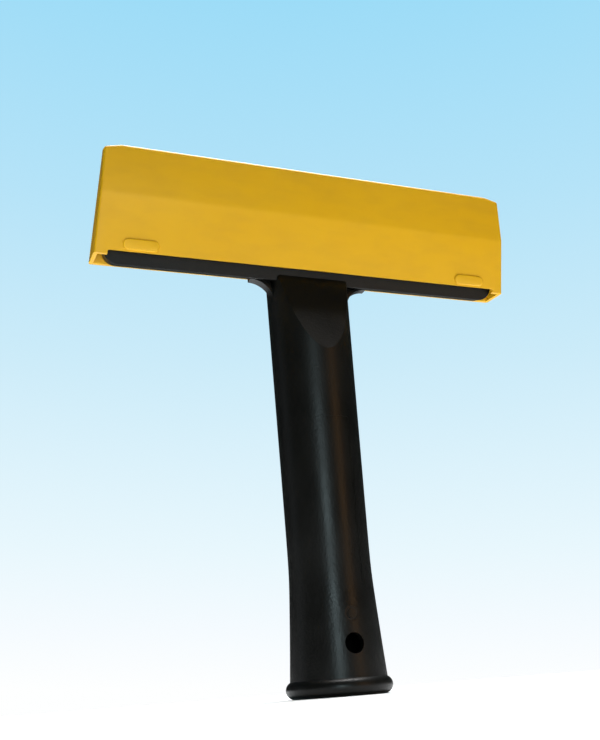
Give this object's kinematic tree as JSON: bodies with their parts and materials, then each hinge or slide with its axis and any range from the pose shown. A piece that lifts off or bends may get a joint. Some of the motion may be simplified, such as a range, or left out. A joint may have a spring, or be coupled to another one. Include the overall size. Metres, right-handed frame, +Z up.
{
  "type": "window scraper with blade guard",
  "caption": "T-shaped window cleaning scraper with a hollow pole handle, a clamped steel blade and a slide-off blade guard.",
  "frame": {"origin": "centre of the handle's open end, where a pole goes in", "axes": "+Z up the handle towards the head, -Y towards the tool's front, +X along the blade"},
  "size_m": [0.1606, 0.0367, 0.1834],
  "materials": {
    "black_nylon": "satin moulded",
    "yellow_polypropylene": "satin moulded",
    "spring_steel": "ground",
    "zinc_plated_steel": "zinc plated",
    "brass": "turned"
  },
  "bodies": {
    "tool": {"handle": "black_nylon", "scraper_blade": "spring_steel", "clamp_plate": "zinc_plated_steel", "threaded_bush_left": "brass", "threaded_bush_middle": "brass", "threaded_bush_right": "brass"},
    "guard": {"blade_guard": "yellow_polypropylene"},
    "screw_left": {"clamp_screw_left": "zinc_plated_steel"},
    "screw_middle": {"clamp_screw_middle": "zinc_plated_steel"},
    "screw_right": {"clamp_screw_right": "zinc_plated_steel"}
  },
  "joints": [
    {"name": "guard_slide", "type": "slide", "parent": "tool", "child": "guard", "axis": [0, -0.342, 0.9397], "range_m": [0, 0.045]},
    {"name": "screw_left_turn", "type": "hinge", "parent": "tool", "child": "screw_left", "pos_m": [-0.05, -0.00858, 0.15776], "axis": [0, 0.9397, 0.342], "range_deg": [-180, 180]},
    {"name": "screw_middle_turn", "type": "hinge", "parent": "tool", "child": "screw_middle", "pos_m": [0, -0.00858, 0.15776], "axis": [0, 0.9397, 0.342], "range_deg": [-180, 180]},
    {"name": "screw_right_turn", "type": "hinge", "parent": "tool", "child": "screw_right", "pos_m": [0.05, -0.00858, 0.15776], "axis": [0, 0.9397, 0.342], "range_deg": [-180, 180]}
  ]
}
